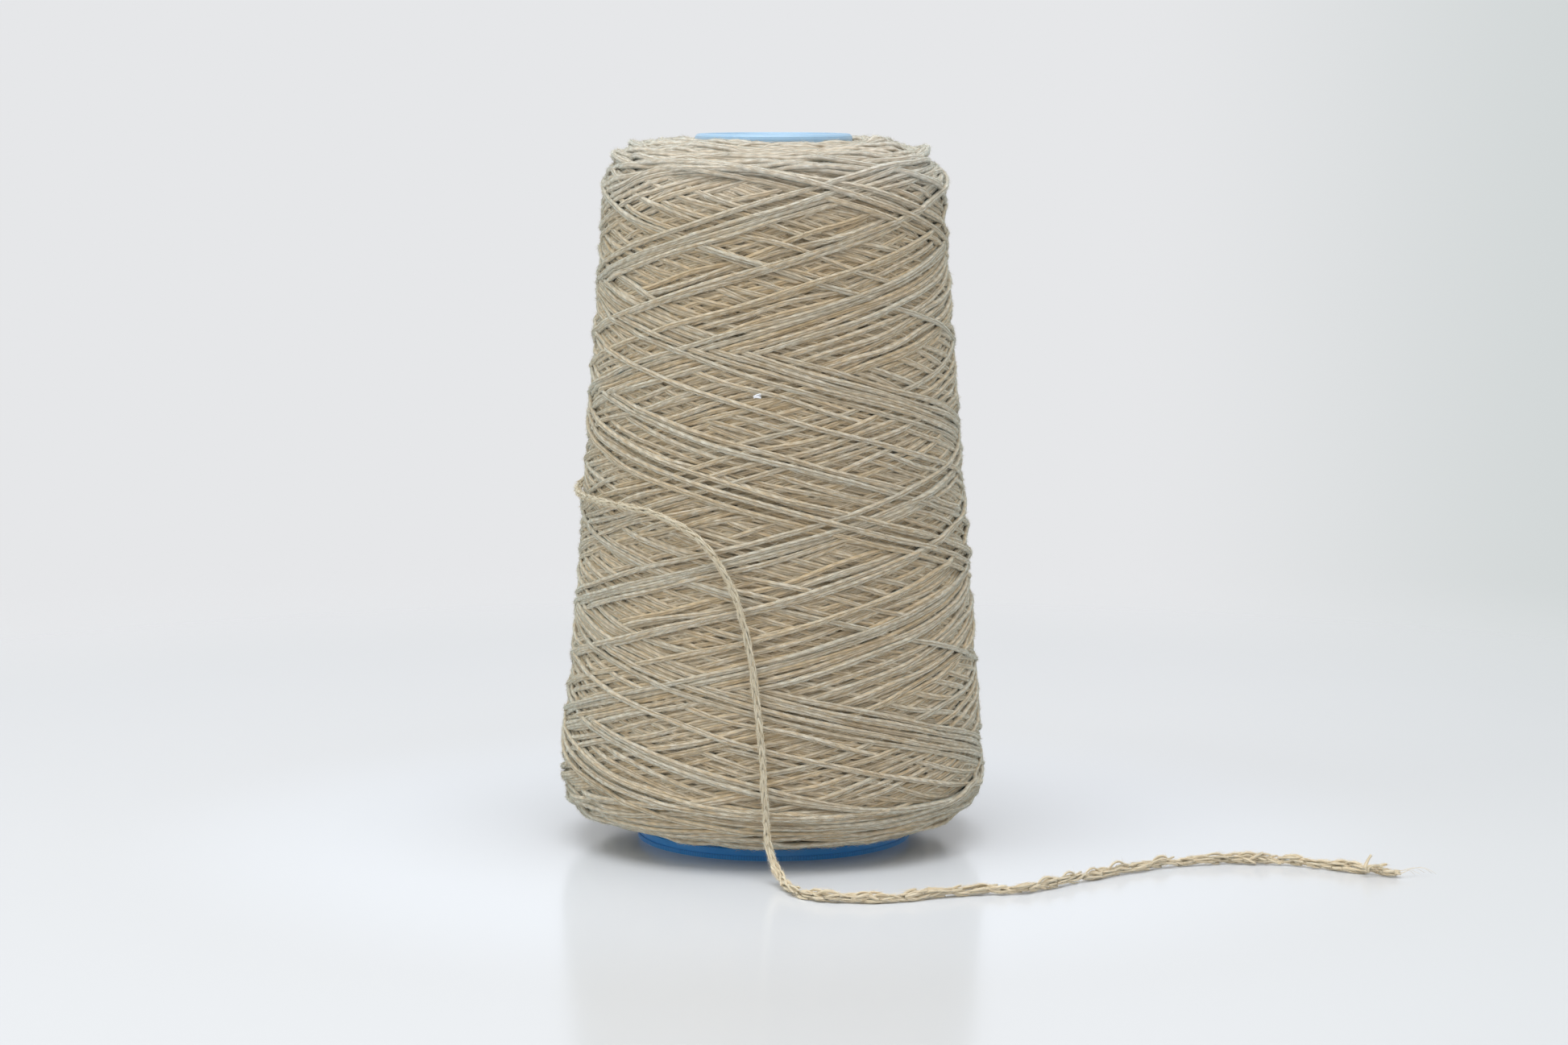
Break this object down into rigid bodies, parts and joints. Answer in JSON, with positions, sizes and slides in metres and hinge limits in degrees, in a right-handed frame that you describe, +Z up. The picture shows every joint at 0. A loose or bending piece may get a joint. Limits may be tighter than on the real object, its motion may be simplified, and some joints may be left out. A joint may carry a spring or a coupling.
{
  "type": "yarn cone",
  "caption": "Cross-wound cone of soft beige knitted-chain yarn on a hollow tapered plastic core, with a short loose tail that lies on the surface it stands on.",
  "frame": {"origin": "on the cone's axis, in the plane of the foot it stands on", "axes": "+Z up the axis from the foot to the nose; -Y is the side down which the tail falls; the tail then runs towards +X"},
  "size_m": [0.1952, 0.1293, 0.17],
  "materials": {
    "cone_plastic": "satin",
    "wound_yarn": "matte",
    "tail_yarn": "matte"
  },
  "bodies": {
    "root": {"cone_core": "cone_plastic", "inner_winding": "wound_yarn", "outer_turns": "wound_yarn", "yarn_tail": "tail_yarn"}
  },
  "joints": []
}
